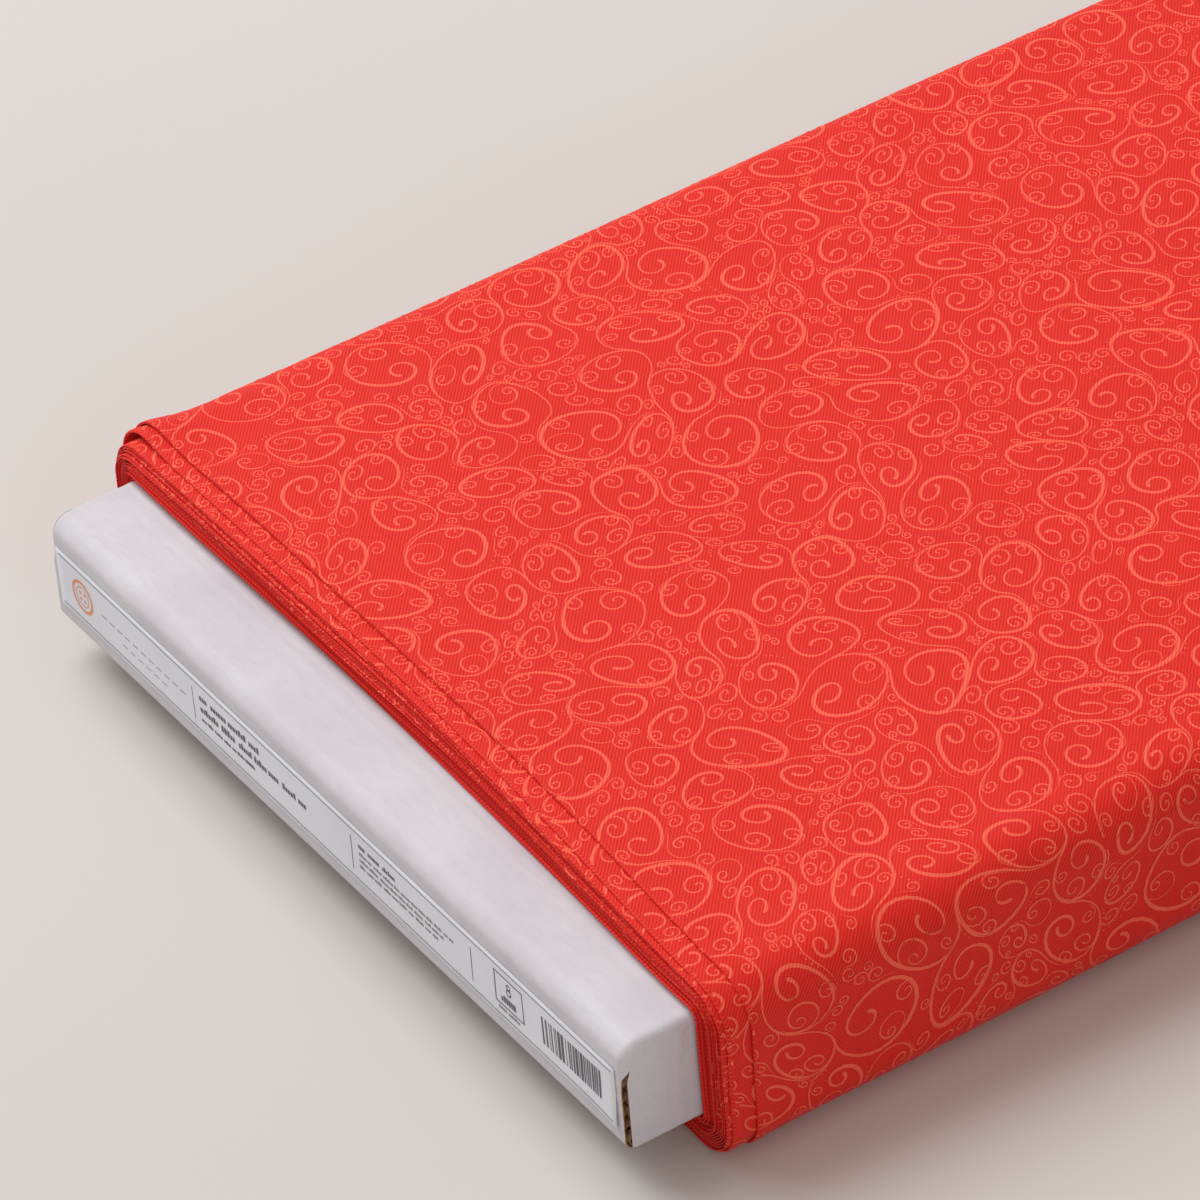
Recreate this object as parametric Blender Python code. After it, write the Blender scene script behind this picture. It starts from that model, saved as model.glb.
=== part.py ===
"""Quilting fabric wound on a folded corrugated bolt board.

Frame: metres, +Z up, origin on the floor under the middle of the bolt. +Y runs along the
bolt, with the labelled end at -Y; +X is one long side wall of the board ("near") and -X
the other ("far"), where the free end of the cloth hangs.

The board is one die-cut blank. Its panels meet at scored folds, and each panel or flap is
an object of its own. The cloth is folded double, with the fold at the labelled end, and is
wound round the board; the outermost turns are objects of their own.
"""

import math

import bmesh
import bpy
from mathutils import Vector

# ---- the board ------------------------------------------------------------------------
BOARD_WIDTH = 0.1905
BOARD_THICKNESS = 0.0240
WALL = 0.0016
FOLD_SETBACK = 0.0002  # each panel's mitred edge stops this far short of the fold line
FIT_GAP = 0.0003  # between parts that rest on each other

# ---- the tuck closure at each end -------------------------------------------------------
TUCK_CLEARANCE = 0.0005  # between the tongue and the bottom panel under it
TONGUE_LENGTH = 0.0120
TONGUE_TIP_LIFT = 0.0004  # the tongue's leading edge is crushed, so it is thinner underneath
TONGUE_SIDE_CLEARANCE = 0.0012
END_FLAP_SIDE_RELIEF = 0.0004
DUST_FLAP_LENGTH = 0.0200
DUST_FLAP_TOP_RELIEF = 0.0008
DUST_FLAP_TUCK_RELIEF = 0.0035  # room over the tongue, which rises as the end flap opens
GLUE_FLAP_HEIGHT = 0.0150
GLUE_FLAP_END_SETBACK = 0.0260

# ---- the label --------------------------------------------------------------------------
LABEL_THICKNESS = 0.0002
LABEL_GAP = 0.0001
LABEL_SIDE_MARGIN = 0.0020
LABEL_TOP_MARGIN = 0.0034
LABEL_BOTTOM_MARGIN = 0.0012

# ---- the cloth --------------------------------------------------------------------------
FOLDED_CLOTH_WIDTH = 0.5588
LABEL_END_PROJECTION = 0.0175  # board left bare at the labelled end
REAR_END_PROJECTION = 0.0207  # and at the other end
INNER_TURNS_OVER_PANEL = 0.0051  # build-up of the inner turns above and below the board
INNER_TURNS_OVER_SIDE = 0.0061  # and beside it, where the turns lie looser
INNER_TURNS_INNER_RADIUS = 0.0010
INNER_TURNS_OUTER_RADIUS = 0.0076
TURN_THICKNESS = 0.0009
STEPPED_TURN_SETBACK = 0.0034
OUTER_TURN_SETBACK = 0.0064
FREE_END_DROP = 0.0205
ARC_STEPS = 8

# ---- places worked out from the sizes ---------------------------------------------------
BOARD_LENGTH = LABEL_END_PROJECTION + FOLDED_CLOTH_WIDTH + REAR_END_PROJECTION
LABEL_STANDOUT = LABEL_GAP + LABEL_THICKNESS
TOTAL_LENGTH = BOARD_LENGTH + LABEL_STANDOUT
FRONT_Y = -TOTAL_LENGTH / 2 + LABEL_STANDOUT
REAR_Y = FRONT_Y + BOARD_LENGTH
PITCH = TURN_THICKNESS + FIT_GAP
BUILD_UP = FIT_GAP + INNER_TURNS_OVER_PANEL + 2 * PITCH
SIDE_BUILD_UP = FIT_GAP + INNER_TURNS_OVER_SIDE + 2 * PITCH
BOTTOM_Z = BUILD_UP
TOP_Z = BOTTOM_Z + BOARD_THICKNESS
MID_Z = (BOTTOM_Z + TOP_Z) / 2
HALF_WIDTH = BOARD_WIDTH / 2
CLOTH_HALF_WIDTH = HALF_WIDTH + SIDE_BUILD_UP
CLOTH_HALF_HEIGHT = BOARD_THICKNESS / 2 + BUILD_UP
CLOTH_FRONT_Y = FRONT_Y + LABEL_END_PROJECTION
TUCK_Z = BOTTOM_Z + WALL + TUCK_CLEARANCE  # underside of the tongue

# ---- colours: linear RGB, roughness -----------------------------------------------------
FINISHES = {
    "white_board": ((0.72, 0.72, 0.74), 0.85),
    "label_paper": ((0.76, 0.76, 0.77), 0.60),
    "red_cotton": ((0.72, 0.035, 0.030), 0.90),
}


def clear_scene():
    for obj in list(bpy.data.objects):
        bpy.data.objects.remove(obj, do_unlink=True)


def finish(name):
    """The Principled BSDF material of that name, made on first use."""
    material = bpy.data.materials.get(name)
    if material is None:
        colour, roughness = FINISHES[name]
        material = bpy.data.materials.new(name)
        material.use_nodes = True
        shader = material.node_tree.nodes["Principled BSDF"]
        shader.inputs["Base Color"].default_value = (*colour, 1.0)
        shader.inputs["Roughness"].default_value = roughness
        shader.inputs["Metallic"].default_value = 0.0
    return material


def add_solid(name, points, faces, material, pivot=(0.0, 0.0, 0.0)):
    """A closed mesh object from world points, facing out, with its origin at pivot."""
    origin = Vector(pivot)
    shape = bmesh.new()
    corners = [shape.verts.new(Vector(point) - origin) for point in points]
    for face in faces:
        shape.faces.new([corners[i] for i in face])
    bmesh.ops.recalc_face_normals(shape, faces=shape.faces)
    mesh = bpy.data.meshes.new(name)
    shape.to_mesh(mesh)
    shape.free()
    mesh.materials.append(finish(material))
    obj = bpy.data.objects.new(name, mesh)
    obj.location = origin
    bpy.context.scene.collection.objects.link(obj)
    return obj


def add_block(name, low, high, material, pivot=(0.0, 0.0, 0.0)):
    """A plain rectangular panel between two corners."""
    ring = [(low[0], low[1]), (high[0], low[1]), (high[0], high[1]), (low[0], high[1])]
    lower = [(x, y, low[2]) for x, y in ring]
    upper = [(x, y, high[2]) for x, y in ring]
    return add_panel(name, lower, upper, material, pivot)


def add_panel(name, outer, inner, material, pivot=(0.0, 0.0, 0.0)):
    """A panel between its outer face and its inner face, each four points in the same order."""
    sides = [(i, (i + 1) % 4, (i + 1) % 4 + 4, i + 4) for i in range(4)]
    return add_solid(name, outer + inner, [(0, 1, 2, 3), (4, 5, 6, 7), *sides], material, pivot)


def horizontal_panel(name, outer_z, inner_z, ends_inset):
    """The top or bottom panel: mitred along its long folds, and at its ends where a flap is folded on."""
    reach = HALF_WIDTH - FOLD_SETBACK
    inner_reach = reach - WALL
    y = (FRONT_Y + ends_inset[0], REAR_Y - ends_inset[0])
    inner_y = (FRONT_Y + ends_inset[1], REAR_Y - ends_inset[1])
    outer = [(-reach, y[0], outer_z), (reach, y[0], outer_z), (reach, y[1], outer_z), (-reach, y[1], outer_z)]
    inner = [
        (-inner_reach, inner_y[0], inner_z),
        (inner_reach, inner_y[0], inner_z),
        (inner_reach, inner_y[1], inner_z),
        (-inner_reach, inner_y[1], inner_z),
    ]
    return add_panel(name, outer, inner, "white_board")


def side_wall(name, side):
    """A side wall: mitred to the top and bottom panels, with its ends behind the end flaps."""
    x, inner_x = side * HALF_WIDTH, side * (HALF_WIDTH - WALL)
    z = (BOTTOM_Z + FOLD_SETBACK, TOP_Z - FOLD_SETBACK)
    inner_z = (z[0] + WALL, z[1] - WALL)
    y = (FRONT_Y + WALL + FIT_GAP, REAR_Y - WALL - FIT_GAP)
    outer = [(x, y[0], z[0]), (x, y[1], z[0]), (x, y[1], z[1]), (x, y[0], z[1])]
    inner = [
        (inner_x, y[0], inner_z[0]),
        (inner_x, y[1], inner_z[0]),
        (inner_x, y[1], inner_z[1]),
        (inner_x, y[0], inner_z[1]),
    ]
    return add_panel(name, outer, inner, "white_board")


def build_sleeve():
    """The four walls of the hollow board and the glued flap that closes it."""
    mitred_end = (FOLD_SETBACK, FOLD_SETBACK + WALL)
    raw_end = (FIT_GAP, FIT_GAP)
    horizontal_panel("board_top_panel", TOP_Z, TOP_Z - WALL, mitred_end)
    horizontal_panel("board_bottom_panel", BOTTOM_Z, BOTTOM_Z + WALL, raw_end)
    side_wall("board_side_wall_near", 1)
    side_wall("board_side_wall_far", -1)
    glue_x = -HALF_WIDTH + WALL + FIT_GAP
    glue_z = BOTTOM_Z + WALL + FIT_GAP
    add_block(
        "board_glue_flap",
        (glue_x, FRONT_Y + GLUE_FLAP_END_SETBACK, glue_z),
        (glue_x + WALL, REAR_Y - GLUE_FLAP_END_SETBACK, glue_z + GLUE_FLAP_HEIGHT),
        "white_board",
    )


def build_end(prefix, end_y, inward):
    """The tuck closure of one end: an end flap with its tongue, and two dust flaps behind it.

    end_y is the end's outer plane, and inward is +1 or -1, the way into the board along Y.
    """
    half = HALF_WIDTH - END_FLAP_SIDE_RELIEF
    inner_face = end_y + inward * WALL
    fold_z = TOP_Z - FOLD_SETBACK
    outer = [(-half, end_y, TUCK_Z), (half, end_y, TUCK_Z), (half, end_y, fold_z), (-half, end_y, fold_z)]
    inner = [
        (-half, inner_face, TUCK_Z),
        (half, inner_face, TUCK_Z),
        (half, inner_face, fold_z - WALL),
        (-half, inner_face, fold_z - WALL),
    ]
    add_panel(f"{prefix}_end_flap", outer, inner, "white_board", (0.0, end_y, TOP_Z))

    tongue_half = HALF_WIDTH - WALL - TONGUE_SIDE_CLEARANCE
    root = inner_face + inward * FIT_GAP
    tip = root + inward * TONGUE_LENGTH
    top_z = TUCK_Z + WALL
    under = [
        (-tongue_half, root, TUCK_Z),
        (tongue_half, root, TUCK_Z),
        (tongue_half, tip, TUCK_Z + TONGUE_TIP_LIFT),
        (-tongue_half, tip, TUCK_Z + TONGUE_TIP_LIFT),
    ]
    over = [(x, y, top_z) for x, y, _ in under]
    add_panel(f"{prefix}_end_tongue", under, over, "white_board", (0.0, inner_face, top_z))

    dust_face = inner_face + inward * FIT_GAP
    dust_inner = dust_face + inward * WALL
    low = top_z + DUST_FLAP_TUCK_RELIEF
    high = TOP_Z - WALL - DUST_FLAP_TOP_RELIEF
    for side, where in ((1, "near"), (-1, "far")):
        wall_x = side * (HALF_WIDTH - WALL)
        root_x = wall_x - side * FIT_GAP
        tip_x = root_x - side * DUST_FLAP_LENGTH
        add_block(
            f"{prefix}_dust_flap_{where}",
            (min(root_x, tip_x), min(dust_face, dust_inner), low),
            (max(root_x, tip_x), max(dust_face, dust_inner), high),
            "white_board",
            (wall_x, dust_inner, (low + high) / 2),
        )


def build_label():
    """The paper label on the end flap at -Y."""
    back = FRONT_Y - LABEL_GAP
    half = HALF_WIDTH - LABEL_SIDE_MARGIN
    low_z = TUCK_Z + LABEL_BOTTOM_MARGIN
    high_z = TOP_Z - LABEL_TOP_MARGIN
    low = (-half, back - LABEL_THICKNESS, low_z)
    add_block("end_label", low, (half, back, high_z), "label_paper", (0.0, FRONT_Y, TOP_Z))


def rounded_rectangle(half_width, half_height, radius):
    """Points (x, z) anticlockwise from the start of the corner at +X and +Z."""
    points = []
    centres = ((1, 1), (-1, 1), (-1, -1), (1, -1))
    for quarter, (sx, sz) in enumerate(centres):
        for step in range(ARC_STEPS + 1):
            angle = math.radians(90 * (quarter + step / ARC_STEPS))
            x = sx * (half_width - radius) + radius * math.cos(angle)
            z = sz * (half_height - radius) + radius * math.sin(angle)
            points.append((x, MID_Z + z))
    return points


def add_closed_turns(name, outer, inner, setback):
    """A ring of cloth between two outlines with as many points, along the cloth's width."""
    front, rear = CLOTH_FRONT_Y + setback, CLOTH_FRONT_Y + setback + FOLDED_CLOTH_WIDTH
    count = len(outer)
    rings = [(outer, front), (inner, front), (inner, rear), (outer, rear)]
    points = [(x, y, z) for outline, y in rings for x, z in outline]
    faces = []
    for ring in range(4):
        here, there = ring * count, (ring + 1) % 4 * count
        for i in range(count):
            j = (i + 1) % count
            faces.append((here + i, here + j, there + j, there + i))
    return add_solid(name, points, faces, "red_cotton")


def add_open_turn(name, outer, inner, setback):
    """A turn of cloth that doesn't close: the strip between two open outlines."""
    front, rear = CLOTH_FRONT_Y + setback, CLOTH_FRONT_Y + setback + FOLDED_CLOTH_WIDTH
    count = len(outer)
    rings = [(outer, front), (inner, front), (inner, rear), (outer, rear)]
    points = [(x, y, z) for outline, y in rings for x, z in outline]
    faces = []
    for ring in range(4):
        here, there = ring * count, (ring + 1) % 4 * count
        for i in range(count - 1):
            faces.append((here + i, here + i + 1, there + i + 1, there + i))
    for i in (0, count - 1):
        faces.append(tuple(ring * count + i for ring in range(4)))
    return add_solid(name, points, faces, "red_cotton")


def build_cloth():
    """The inner turns, the turn that is stepped back from them, the outermost turn and the free end."""
    bare = FIT_GAP
    inner_outline = rounded_rectangle(HALF_WIDTH + bare, BOARD_THICKNESS / 2 + bare, INNER_TURNS_INNER_RADIUS)
    half_width = HALF_WIDTH + bare + INNER_TURNS_OVER_SIDE
    half_height = BOARD_THICKNESS / 2 + bare + INNER_TURNS_OVER_PANEL
    radius = INNER_TURNS_OUTER_RADIUS

    def outline(offset):
        return rounded_rectangle(half_width + offset, half_height + offset, radius + offset)

    add_closed_turns("cloth_inner_turns", outline(0.0), inner_outline, 0.0)
    add_closed_turns("cloth_stepped_turn", outline(PITCH), outline(FIT_GAP), STEPPED_TURN_SETBACK)

    # The outermost turn leaves the far side wall open: it starts where the free end hangs
    # from, runs over the top, down the near side and under the board, and ends at the far
    # bottom edge, where the winding passes under the free end.
    outer, inner = outline(2 * PITCH), outline(PITCH + FIT_GAP)
    corner = ARC_STEPS + 1
    over = list(range(2 * corner - 1, -1, -1))
    under = list(range(4 * corner - 1, 3 * corner - 1, -1)) + [3 * corner - 1]
    outer, inner = ([points[i] for i in over + under] for points in (outer, inner))
    add_open_turn("cloth_outer_turn", outer, inner, OUTER_TURN_SETBACK)

    hinge_z = MID_Z + half_height - radius
    face_x = -CLOTH_HALF_WIDTH
    front = CLOTH_FRONT_Y + OUTER_TURN_SETBACK
    add_block(
        "cloth_free_end",
        (face_x, front, hinge_z - FREE_END_DROP),
        (face_x + TURN_THICKNESS, front + FOLDED_CLOTH_WIDTH, hinge_z - FIT_GAP),
        "red_cotton",
        (face_x, 0.0, hinge_z),
    )


def main():
    clear_scene()
    build_sleeve()
    build_end("label", FRONT_Y, 1)
    build_end("rear", REAR_Y, -1)
    build_label()
    build_cloth()


main()
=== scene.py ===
"""Looks of a bolt of printed red cotton: cloth folded double and wound on a white carton board.

Metres, in the part's own frame: X across the board (+X is the near side), Y along it (the
labelled end is at -Y) and Z up. The cloth is one spiral that runs from the top towards the
far side, under the board and up the near side; its last lap ends on the far side.
"""

import random
from math import asin, atan2, ceil, copysign, cos, exp, floor, inf, pi, radians, sin, sqrt

import bpy
import numpy as np
from mathutils import Matrix, Vector


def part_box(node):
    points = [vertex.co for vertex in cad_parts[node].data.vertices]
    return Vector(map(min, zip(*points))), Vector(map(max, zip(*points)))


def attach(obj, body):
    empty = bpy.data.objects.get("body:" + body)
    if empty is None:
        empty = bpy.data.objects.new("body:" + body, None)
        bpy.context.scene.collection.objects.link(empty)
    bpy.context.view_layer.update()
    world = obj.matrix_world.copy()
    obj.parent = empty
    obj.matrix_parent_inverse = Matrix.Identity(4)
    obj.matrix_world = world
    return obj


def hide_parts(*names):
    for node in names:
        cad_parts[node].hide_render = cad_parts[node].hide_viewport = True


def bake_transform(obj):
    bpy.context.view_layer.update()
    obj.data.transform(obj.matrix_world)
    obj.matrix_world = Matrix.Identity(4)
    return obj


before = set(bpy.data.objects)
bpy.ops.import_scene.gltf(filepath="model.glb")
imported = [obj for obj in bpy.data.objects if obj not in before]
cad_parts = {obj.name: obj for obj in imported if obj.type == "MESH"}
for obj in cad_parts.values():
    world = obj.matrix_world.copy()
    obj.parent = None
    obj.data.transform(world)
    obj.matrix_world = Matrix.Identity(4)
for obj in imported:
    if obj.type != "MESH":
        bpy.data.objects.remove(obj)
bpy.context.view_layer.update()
MM = 0.001

# ---- places taken from the frame ----
PANEL_LOW, PANEL_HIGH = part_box("board_top_panel")
LABEL_LOW, LABEL_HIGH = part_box("end_label")
WRAP_LOW, WRAP_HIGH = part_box("cloth_outer_turn")

FRONT_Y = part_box("label_end_flap")[0][1]
REAR_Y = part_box("rear_end_flap")[1][1]
BOARD_TOP = PANEL_HIGH[2]
BOARD_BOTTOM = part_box("board_bottom_panel")[0][2]
HALF_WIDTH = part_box("board_side_wall_near")[1][0]
WALL = PANEL_HIGH[2] - PANEL_LOW[2]
CLOTH_WIDTH = WRAP_HIGH[1] - WRAP_LOW[1]
CLOTH_TOP = WRAP_HIGH[2]
BUILD_UP = CLOTH_TOP - BOARD_TOP
SIDE_BUILD_UP = WRAP_HIGH[0] - HALF_WIDTH

# ---- the camera ----
VIEW_AZIMUTH = radians(59.15)
VIEW_ELEVATION = radians(38.2)
VIEW_ROLL = radians(-5.0)
VIEW_DISTANCE = 1.4243
VIEW_OFFSET = (-0.0498, -0.0306)
LENS_MM = 240.0
SENSOR_MM = 36.0

# ---- the winding ----
FIRST_TURN = 0.20  # turns are counted from the middle of the top, towards the far side
WRAP_START = 15.235  # the outermost wrap starts under the free lap
LAP_START = 16.14  # the free lap starts on the top, just before the far edge
LAST_TURN = 16.262
INNER_RADIUS = 0.0013
OUTER_RADIUS = 0.0100
FIT_GAP = 0.0002
LEAF_GAP_SHARE = 0.5  # the two leaves of a turn, as a share of the winding's pitch
# How far each part of the winding starts behind the board's end, in millimetres.
SETBACK_TURNS = (0, 6, 12, 13.17, 13.75, 14.17, 14.75, 14.9, 15.17, 15.75, 15.9, 16.3)
SETBACK_MM = (18.2, 18.5, 18.9, 19.3, 19.0, 19.9, 19.4, 20.9, 22.4, 24.1, 25.4, 25.5)
NEAR_SIDE_ADVANCE = 0.0026  # the folded edge creeps towards the end on the near side
SELVEDGE = 0.0095  # the bare strip along the two woven edges
LOOSE_EDGE = 0.0015  # how far the last turns stand off on the far side
FLARE = 0.004  # the fold is fuller over about this distance from the edge
LOWEST = 0.00015  # of any point of the cloth

# ---- the print ----
REPEAT = (0.240, 0.280)
SEED = 20
PRINT_LIFT = 0.00007
STROKE_LIFT = 0.000006  # between strokes that cross
STROKE_LEVELS = 5
ROUND_FOLD = -0.0006  # the print runs this far round the folded edge
STEP_PRINT = 0.0090  # how much of the inner turns' print can be seen
PRINT_LAP = 0.003  # shared by neighbouring pieces of print, so that no stroke is lost


def srgb(red, green, blue):
    """Linear RGBA from 0-255 sRGB."""
    def linear(value):
        share = value / 255
        return share / 12.92 if share <= 0.04045 else ((share + 0.055) / 1.055) ** 2.4
    return (linear(red), linear(green), linear(blue), 1.0)


def smooth(value, low, high):
    share = np.clip((value - low) / (high - low), 0, 1)
    return share * share * (3 - 2 * share)


# ---- node helpers ----
class Shader:
    """A material whose nodes are added in short calls."""

    def __init__(self, name):
        self.material = bpy.data.materials.new(name)
        self.material.use_nodes = True
        self.tree = self.material.node_tree
        self.bsdf = self.tree.nodes["Principled BSDF"]

    def put(self, socket, value):
        """A socket takes a number or colour, or the output of another node."""
        if isinstance(value, bpy.types.NodeSocket):
            self.tree.links.new(value, socket)
        else:
            socket.default_value = value

    def add(self, kind, values=(), **settings):
        """A new node, with its settings and what goes into its sockets, by name or number."""
        node = self.tree.nodes.new("ShaderNode" + kind)
        for name, value in settings.items():
            setattr(node, name, value)
        for socket, value in dict(values).items():
            self.put(node.inputs[socket], value)
        return node

    def math(self, operation, *values, clamp=False):
        return self.add("Math", enumerate(values), operation=operation, use_clamp=clamp).outputs[0]

    def total(self, *terms, clamp=False):
        """The sum of (value, weight) terms."""
        *rest, last = terms
        result = 0.0
        for term in rest:
            result = self.math("MULTIPLY_ADD", *term, result)
        return self.math("MULTIPLY_ADD", *last, result, clamp=clamp)

    def mix(self, share, first, second):
        return self.add("Mix", {0: share, 6: first, 7: second}, data_type="RGBA").outputs[2]

    def place(self, uv=None, scale=(1, 1, 1), turn=0.0):
        """Coordinates of the object, or of a UV map, scaled and turned about Z."""
        if uv:
            source = self.add("UVMap", uv_map=uv).outputs[0]
        else:
            source = self.add("TexCoord").outputs["Object"]
        values = {"Vector": source, "Rotation": (0, 0, turn), "Scale": scale}
        return self.add("Mapping", values).outputs[0]

    def noise(self, where, scale, detail=2.0, roughness=0.5):
        values = {"Vector": where, "Scale": scale, "Detail": detail, "Roughness": roughness}
        return self.add("TexNoise", values).outputs["Fac"]

    def wave(self, where, period, direction, distortion, detail_scale):
        """Sine bands of that period; where is in metres."""
        values = {
            "Vector": where, "Scale": pi / 10 / period,
            "Distortion": distortion, "Detail Scale": detail_scale,
        }
        return self.add("TexWave", values, bands_direction=direction).outputs["Fac"]

    def between(self, value, low, high, out_low=0.0, out_high=1.0):
        """The value carried from the range low to high over to another range."""
        return self.add("MapRange", enumerate((value, low, high, out_low, out_high))).outputs[0]

    def bump(self, height, distance, strength):
        values = {"Height": height, "Distance": distance, "Strength": strength}
        return self.add("Bump", values).outputs[0]

    def finish(self, colour, roughness, normal=None, **settings):
        values = {"Base Color": colour, "Roughness": roughness}
        values.update({name.replace("_", " "): value for name, value in settings.items()})
        if normal is not None:
            values["Normal"] = normal
        for name, value in values.items():
            self.put(self.bsdf.inputs[name], value)
        return self.material


# ---- materials ----
RIB_PITCH = 0.000607
RIB_TURN = radians(-40.3)
THREAD_PITCH = 0.00030
PRINTED_WIDTH = CLOTH_WIDTH - SELVEDGE


def cotton(name, colour, deep, edge_colour=None):
    """Plain-woven cotton with fine slanting ribs; the map "weave" is in metres."""
    s = Shader(name)
    where = s.place("weave")
    slanted = s.place("weave", turn=RIB_TURN)
    rib = s.wave(slanted, RIB_PITCH, "Y", 1.2, 2.0)
    thread = s.wave(where, THREAD_PITCH, "X", 0.6, 3.0)
    cross = s.wave(where, THREAD_PITCH * 1.2, "Y", 0.6, 3.0)
    slub = s.noise(s.place("weave", scale=(60, 700, 1)), 1.0, 3.0, 0.6)
    cloud = s.noise(where, 28.0)
    fuzz = s.noise(where, 2600.0, 2.0, 0.7)
    crossing = s.math("MULTIPLY", thread, cross)
    tone = s.total((rib, 0.62), (crossing, 0.12), (slub, 0.25), (fuzz, 0.20), (cloud, 0.20), clamp=True)
    shade = s.mix(s.between(tone, 0.15, 1.0), deep, colour)
    if edge_colour:
        across = s.add("SeparateXYZ", {0: where}).outputs["Y"]
        band = s.between(across, PRINTED_WIDTH, PRINTED_WIDTH + 0.0006)
        shade = s.mix(s.math("MULTIPLY", band, 0.85), shade, edge_colour)
    height = s.total((rib, 0.15), (thread, 0.3), (cross, 0.3), (fuzz, 0.5))
    rough = s.between(tone, 0.0, 1.0, 0.74, 0.62)
    normal = s.bump(height, 0.00006, 0.6)
    tint = tuple(0.5 + 0.5 * channel for channel in colour[:3]) + (1.0,)
    return s.finish(
        shade, rough, normal, Specular_Tint=(1.0, 0.64, 0.45, 1.0), Specular_IOR_Level=0.38,
        Sheen_Weight=0.10, Sheen_Roughness=0.40, Sheen_Tint=tint,
    )


def board_white():
    """Bleached carton liner: fibres, the faint washboard of the flutes, faint pinkish blotches at
    random.
    """
    s = Shader("board_white")
    where = s.place()
    fibre = s.noise(s.place(scale=(260, 1400, 900)), 1.0, 3.0, 0.65)
    mottle = s.noise(where, 55.0, 3.0, 0.6)
    blotch = s.noise(where, 14.0)
    white = s.mix(s.between(mottle, 0.35, 0.70), srgb(206, 205, 211), srgb(197, 194, 202))
    white = s.mix(s.between(fibre, 0.45, 0.80, 0.0, 0.30), white, srgb(183, 178, 184))
    white = s.mix(s.between(blotch, 0.50, 0.80, 0.0, 0.28), white, srgb(201, 188, 195))
    normal = s.bump(s.total((fibre, 0.6), (mottle, 0.8)), 0.00010, 0.55)
    rough = s.between(mottle, 0.2, 0.8, 0.62, 0.80)
    return s.finish(white, rough, normal, Specular_IOR_Level=0.35)


def kraft():
    """Bare brown paper of the flutes, the inside liner and the cut edges."""
    s = Shader("kraft_paper")
    where = s.place()
    fibre = s.noise(s.place(scale=(500, 1800, 1800)), 1.0, 4.0, 0.7)
    fleck = s.noise(where, 420.0, 2.0, 0.7)
    brown = s.mix(s.between(fibre, 0.3, 0.75), srgb(150, 112, 78), srgb(196, 160, 122))
    brown = s.mix(s.between(fleck, 0.62, 0.78, 0.0, 0.6), brown, srgb(104, 74, 48))
    normal = s.bump(fibre, 0.00012, 0.7)
    return s.finish(brown, s.between(fleck, 0.2, 0.8, 0.82, 0.94), normal, Specular_IOR_Level=0.2)


def label_paper():
    """Smooth coated label stock with a faint grain."""
    s = Shader("label_stock")
    where = s.place()
    grain = s.noise(where, 1500.0, 3.0, 0.6)
    cloud = s.noise(where, 40.0)
    white = s.mix(s.between(cloud, 0.3, 0.7), srgb(226, 230, 239), srgb(218, 222, 231))
    white = s.mix(s.between(grain, 0.5, 0.8, 0.0, 0.25), white, srgb(212, 210, 216))
    normal = s.bump(grain, 0.00003, 0.5)
    return s.finish(white, s.between(cloud, 0.3, 0.7, 0.42, 0.52), normal, Specular_IOR_Level=0.45)


def ink(name, colour, pale):
    """Printing ink with a slightly uneven lay-down."""
    s = Shader(name)
    lay = s.noise(s.place(), 2200.0, 3.0, 0.6)
    shade = s.mix(s.between(lay, 0.45, 0.80), colour, pale)
    return s.finish(shade, s.between(lay, 0.2, 0.8, 0.40, 0.60), s.bump(lay, 0.00001, 0.4))


def floor_finish():
    """A pale, matt tabletop."""
    s = Shader("pale_floor")
    cloud = s.noise(s.place(), 3.0)
    shade = s.mix(s.between(cloud, 0.3, 0.7), srgb(206, 203, 199), srgb(202, 198, 194))
    return s.finish(shade, 0.9, Specular_IOR_Level=0.2)


RED = cotton("printed_cotton", srgb(230, 45, 41), srgb(191, 0, 0), srgb(247, 214, 196))
PRINT = cotton("cotton_print", srgb(244, 106, 82), srgb(222, 66, 52))
WHITE = board_white()
KRAFT = kraft()
PAPER = label_paper()
DARK_INK = ink("label_ink", srgb(84, 80, 90), srgb(112, 108, 118))
FINE_INK = ink("label_ink_fine", srgb(128, 124, 132), srgb(152, 148, 156))
ORANGE_INK = ink("label_ink_orange", srgb(222, 140, 100), srgb(232, 168, 132))


# ---- mesh helpers ----
def add_mesh(name, points, faces, materials, uv=None, kinds=None):
    """A smooth-shaded mesh. uv holds two numbers a point, and kinds a material number a face."""
    mesh = bpy.data.meshes.new(name)
    mesh.from_pydata(np.asarray(points).tolist(), [], [list(map(int, face)) for face in faces])
    for material in materials:
        mesh.materials.append(material)
    if kinds is not None:
        mesh.polygons.foreach_set("material_index", np.asarray(kinds, np.int32))
    if uv is not None:
        layer = mesh.uv_layers.new(name="weave")
        corner = np.empty(len(mesh.loops), np.int32)
        mesh.loops.foreach_get("vertex_index", corner)
        layer.data.foreach_set("uv", np.asarray(uv, np.float32)[corner].ravel())
    mesh.polygons.foreach_set("use_smooth", np.ones(len(mesh.polygons), bool))
    mesh.update()
    obj = bpy.data.objects.new(name, mesh)
    bpy.context.scene.collection.objects.link(obj)
    return obj


def grid_faces(rows, columns, start=0):
    """The quads of a grid of points stored row by row."""
    corner = start + np.arange(rows * columns).reshape(rows, columns)
    quads = (corner[:-1, :-1], corner[:-1, 1:], corner[1:, 1:], corner[1:, :-1])
    return np.stack([quad.ravel() for quad in quads], axis=1)


# ---- the cloth's winding ----
TOP_STEPS, CORNER_STEPS, SIDE_STEPS, BOTTOM_STEPS = 11, 14, 4, 16
FOLD_STEPS = 5
# For each rounded corner: which side, which level, and the angle it starts at.
CORNERS = {
    "far_top": (-1, 1, 90), "far_bottom": (-1, -1, 180),
    "near_bottom": (1, -1, 270), "near_top": (1, 1, 0),
}


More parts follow.
